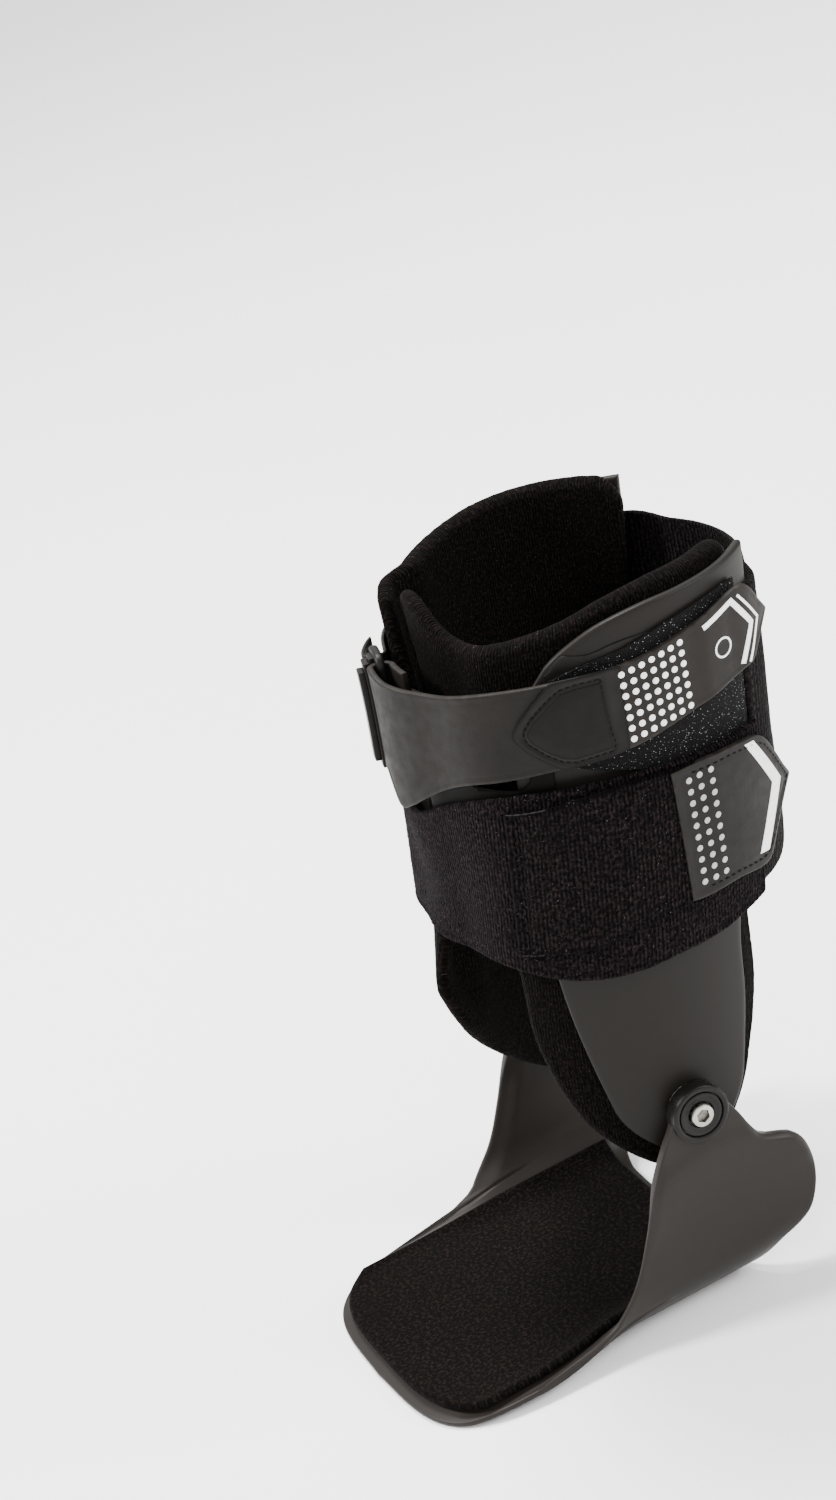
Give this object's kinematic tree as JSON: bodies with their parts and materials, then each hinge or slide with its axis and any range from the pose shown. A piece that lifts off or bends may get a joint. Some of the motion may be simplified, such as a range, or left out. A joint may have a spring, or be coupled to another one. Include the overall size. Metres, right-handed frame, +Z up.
{
  "type": "hinged stirrup ankle foot orthosis",
  "caption": "Left ankle brace: a bent footplate with two side ears hinged to a padded plastic shell cuff closed by an upper strap through a ring and a lower fabric wrap.",
  "frame": {"origin": "underside of the footplate, straight below the middle of the ankle hinge axis", "axes": "+Z up from the floor, toes towards -Y, lateral (outer) side of the left foot towards +X"},
  "size_m": [0.0998, 0.1648, 0.2102],
  "materials": {
    "moulded_plastic": "satin moulded plastic, warm dark grey",
    "cap_plastic": "gloss moulded plastic, warm dark grey",
    "washer_plastic": "natural acetal",
    "stainless": "brushed stainless steel",
    "coated_strap": "smooth coated strap, warm dark grey",
    "liner_foam": "black plush-faced foam",
    "pad_foam": "black foam insole",
    "loop_fabric": "black brushed loop fabric",
    "hook_tape": "black hook tape"
  },
  "bodies": {
    "stirrup": {"footplate": "moulded_plastic", "sole_pad": "pad_foam", "lateral_hinge_cap": "cap_plastic", "medial_hinge_cap": "cap_plastic", "lateral_hinge_screw": "stainless", "medial_hinge_screw": "stainless", "lateral_sleeve_nut": "stainless", "medial_sleeve_nut": "stainless", "lateral_friction_washer": "washer_plastic", "medial_friction_washer": "washer_plastic"},
    "cuff": {"lateral_shell": "moulded_plastic", "medial_shell": "moulded_plastic", "lateral_liner": "liner_foam", "medial_liner": "liner_foam", "lateral_liner_hook_patch": "hook_tape", "medial_liner_hook_patch": "hook_tape", "lateral_hook_field": "hook_tape", "medial_hook_field": "hook_tape", "calf_panel": "loop_fabric", "lower_wrap": "loop_fabric", "lower_strap": "loop_fabric", "strap_anchor": "moulded_plastic", "upper_anchor_rivet": "stainless", "lower_anchor_rivet": "stainless", "ring_keeper": "coated_strap", "upper_keeper_rivet": "stainless", "lower_keeper_rivet": "stainless", "upper_strap": "coated_strap", "strap_patch": "coated_strap"},
    "strap_ring": {"strap_ring": "moulded_plastic"},
    "upper_tab": {"upper_tab": "coated_strap", "upper_tab_hook_patch": "hook_tape"},
    "lower_tab": {"lower_tab": "coated_strap", "lower_tab_hook_patch": "hook_tape"}
  },
  "joints": [
    {"name": "ankle_hinge", "type": "hinge", "parent": "stirrup", "child": "cuff", "pos_m": [0, 0, 0.06], "axis": [1, 0, 0], "range_deg": [-37, 28]},
    {"name": "upper_tab_peel", "type": "hinge", "parent": "cuff", "child": "upper_tab", "pos_m": [0.04849, 0.03078, 0.1819], "axis": [0, -0.1392, -0.9903], "range_deg": [0, 75]},
    {"name": "lower_tab_peel", "type": "hinge", "parent": "cuff", "child": "lower_tab", "pos_m": [0.05004, 0.01986, 0.138], "axis": [0, -0.1392, -0.9903], "range_deg": [0, 75]},
    {"name": "ring_swing", "type": "hinge", "parent": "cuff", "child": "strap_ring", "pos_m": [-0.01579, -0.02823, 0.17808], "axis": [0, 0.1392, 0.9903], "range_deg": [0, 3]}
  ]
}
